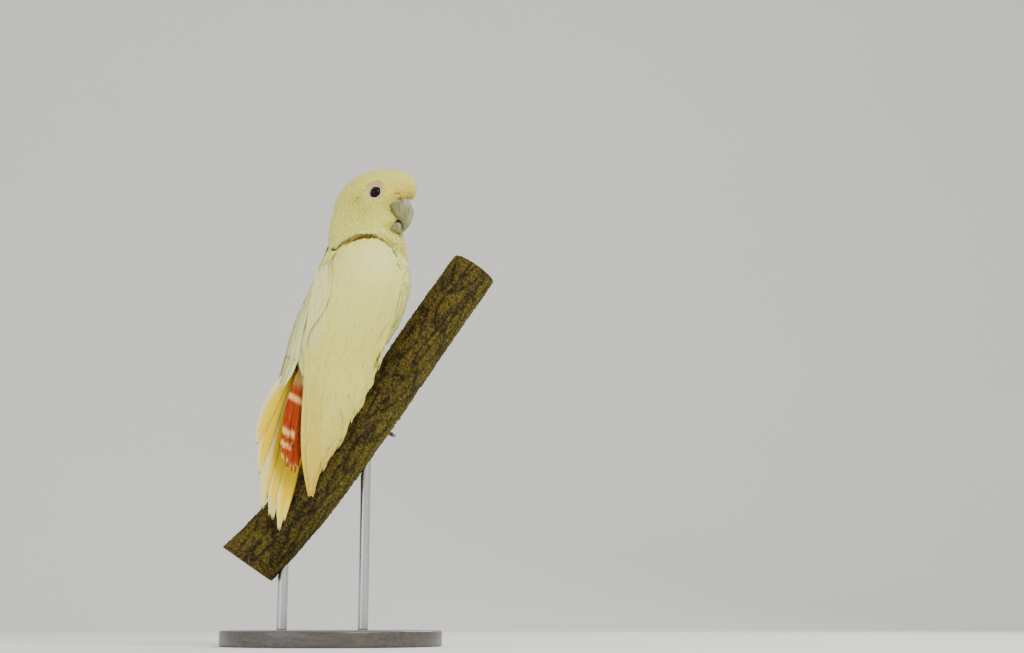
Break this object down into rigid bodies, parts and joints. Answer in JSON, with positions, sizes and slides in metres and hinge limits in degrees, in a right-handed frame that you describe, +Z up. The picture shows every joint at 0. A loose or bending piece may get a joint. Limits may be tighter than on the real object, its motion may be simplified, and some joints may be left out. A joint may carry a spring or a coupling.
{
  "type": "red-vented cockatoo display model",
  "caption": "Still, life-size red-vented cockatoo, white with a yellow and orange-red tail base, clinging upright to a cut branch on a plain round stand.",
  "frame": {"origin": "centre of the stand base's underside", "axes": "+Z up; the bird faces roughly +X with its right side towards -Y; the branch leans towards +X"},
  "size_m": [0.2101, 0.17, 0.3766],
  "materials": {
    "plumage": "soft matte feathers, creamy white with a yellow-green cast",
    "tail_plumage": "matte feathers, yellow inner webs and worn white outer webs",
    "red_coverts": "matte feathers, orange red with whitish bars",
    "bill_horn": "horn with a satin sheen, pale grey-green",
    "claw_horn": "dark satin horn",
    "eye": "wet gloss, near black",
    "foot_scales": "matte scaly skin, grey",
    "bark": "rough dry bark with yellow-green moss",
    "stand_board": "dark satin board",
    "stand_rod": "satin steel rod"
  },
  "bodies": {
    "root": {"bill_lower": "bill_horn", "bill_upper": "bill_horn", "claw_left_1": "claw_horn", "claw_left_2": "claw_horn", "claw_left_3": "claw_horn", "claw_left_4": "claw_horn", "claw_right_1": "claw_horn", "claw_right_2": "claw_horn", "claw_right_3": "claw_horn", "claw_right_4": "claw_horn", "crest": "plumage", "eye_left": "eye", "eye_right": "eye", "foot_left": "foot_scales", "foot_right": "foot_scales", "head": "plumage", "neck": "plumage", "perch": "bark", "stand_base": "stand_board", "stand_rod_high": "stand_rod", "stand_rod_low": "stand_rod", "tail": "tail_plumage", "thigh_left": "plumage", "thigh_right": "plumage", "trunk": "plumage", "undertail_coverts": "red_coverts", "wing_left": "plumage", "wing_right": "plumage"}
  },
  "joints": []
}
